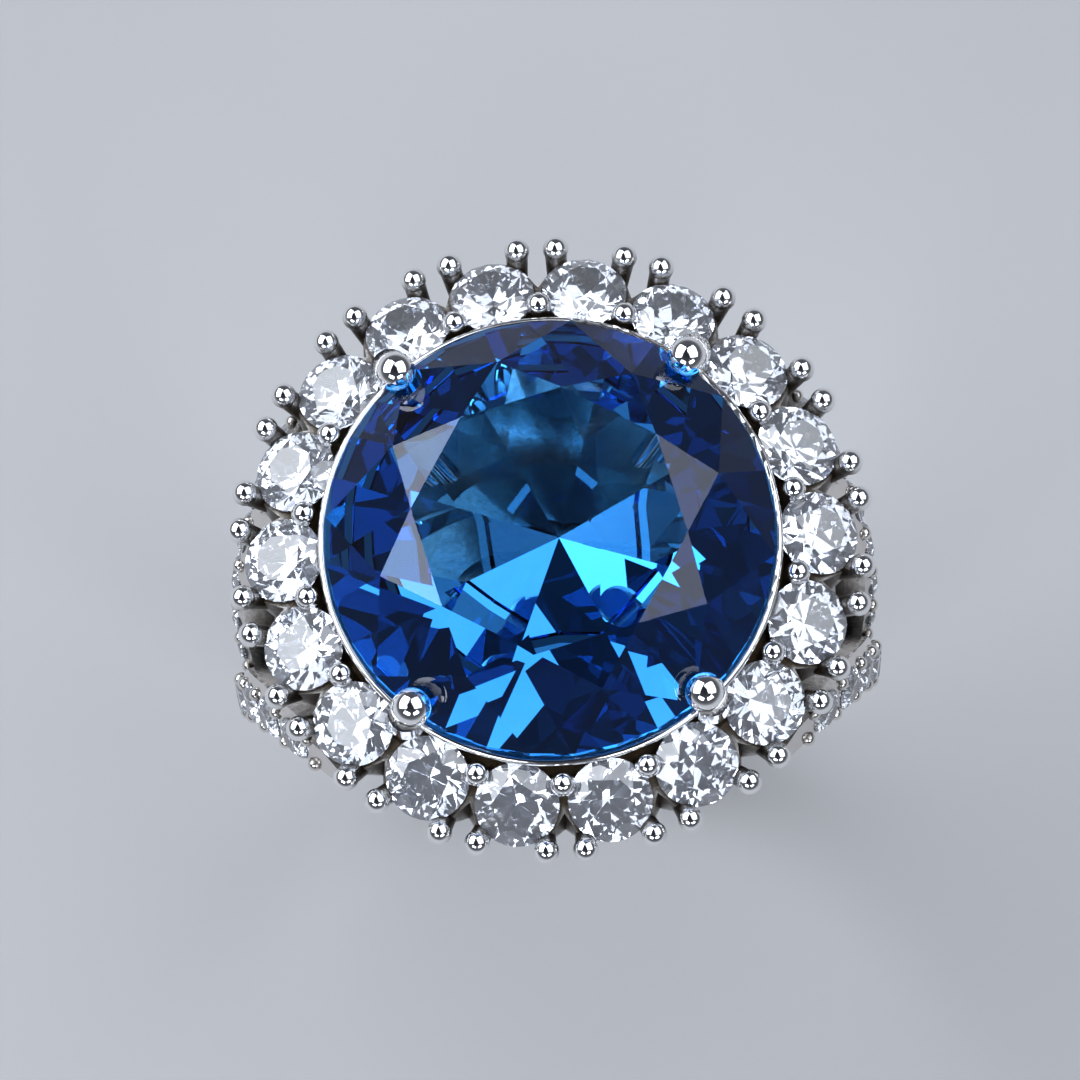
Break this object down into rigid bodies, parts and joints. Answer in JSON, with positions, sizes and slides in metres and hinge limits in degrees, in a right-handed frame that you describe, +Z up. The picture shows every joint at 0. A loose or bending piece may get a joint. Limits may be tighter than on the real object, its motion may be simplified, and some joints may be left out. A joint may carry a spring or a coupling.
{
  "type": "cocktail ring",
  "caption": "Cocktail ring with a large round blue stone in four claws, a halo of clear stones and a split shank.",
  "frame": {"origin": "centre of the finger hole", "axes": "+Z up through the head to the centre stone's table, +Y along the finger, +X across the band"},
  "size_m": [0.0218, 0.0214, 0.0287],
  "materials": {
    "plated_silver": "polished rhodium plate",
    "cast_gallery": "plated, left as cast between the stones",
    "blue_stone": "polished facets, deep blue",
    "clear_stone": "polished facets, colourless"
  },
  "bodies": {
    "root": {"shank": "plated_silver", "basket_base": "plated_silver", "centre_collar": "plated_silver", "gallery_rail": "plated_silver", "halo_gallery": "cast_gallery", "halo_shared_claws": "plated_silver", "centre_stone": "blue_stone", "centre_claw_1": "plated_silver", "centre_claw_2": "plated_silver", "centre_claw_3": "plated_silver", "centre_claw_4": "plated_silver", "shoulder_front_right": "plated_silver", "shoulder_front_left": "plated_silver", "shoulder_back_right": "plated_silver", "shoulder_back_left": "plated_silver", "halo_stone_1": "clear_stone", "halo_stone_2": "clear_stone", "halo_stone_3": "clear_stone", "halo_stone_4": "clear_stone", "halo_stone_5": "clear_stone", "halo_stone_6": "clear_stone", "halo_stone_7": "clear_stone", "halo_stone_8": "clear_stone", "halo_stone_9": "clear_stone", "halo_stone_10": "clear_stone", "halo_stone_11": "clear_stone", "halo_stone_12": "clear_stone", "halo_stone_13": "clear_stone", "halo_stone_14": "clear_stone", "halo_stone_15": "clear_stone", "halo_stone_16": "clear_stone", "halo_stone_17": "clear_stone", "halo_stone_18": "clear_stone", "shoulder_stone_front_right_1": "clear_stone", "shoulder_stone_front_right_2": "clear_stone", "shoulder_stone_front_right_3": "clear_stone", "shoulder_stone_front_right_4": "clear_stone", "shoulder_stone_front_right_5": "clear_stone", "shoulder_stone_front_right_6": "clear_stone", "shoulder_stone_front_left_1": "clear_stone", "shoulder_stone_front_left_2": "clear_stone", "shoulder_stone_front_left_3": "clear_stone", "shoulder_stone_front_left_4": "clear_stone", "shoulder_stone_front_left_5": "clear_stone", "shoulder_stone_front_left_6": "clear_stone", "shoulder_stone_back_right_1": "clear_stone", "shoulder_stone_back_right_2": "clear_stone", "shoulder_stone_back_right_3": "clear_stone", "shoulder_stone_back_right_4": "clear_stone", "shoulder_stone_back_right_5": "clear_stone", "shoulder_stone_back_right_6": "clear_stone", "shoulder_stone_back_left_1": "clear_stone", "shoulder_stone_back_left_2": "clear_stone", "shoulder_stone_back_left_3": "clear_stone", "shoulder_stone_back_left_4": "clear_stone", "shoulder_stone_back_left_5": "clear_stone", "shoulder_stone_back_left_6": "clear_stone"}
  },
  "joints": []
}
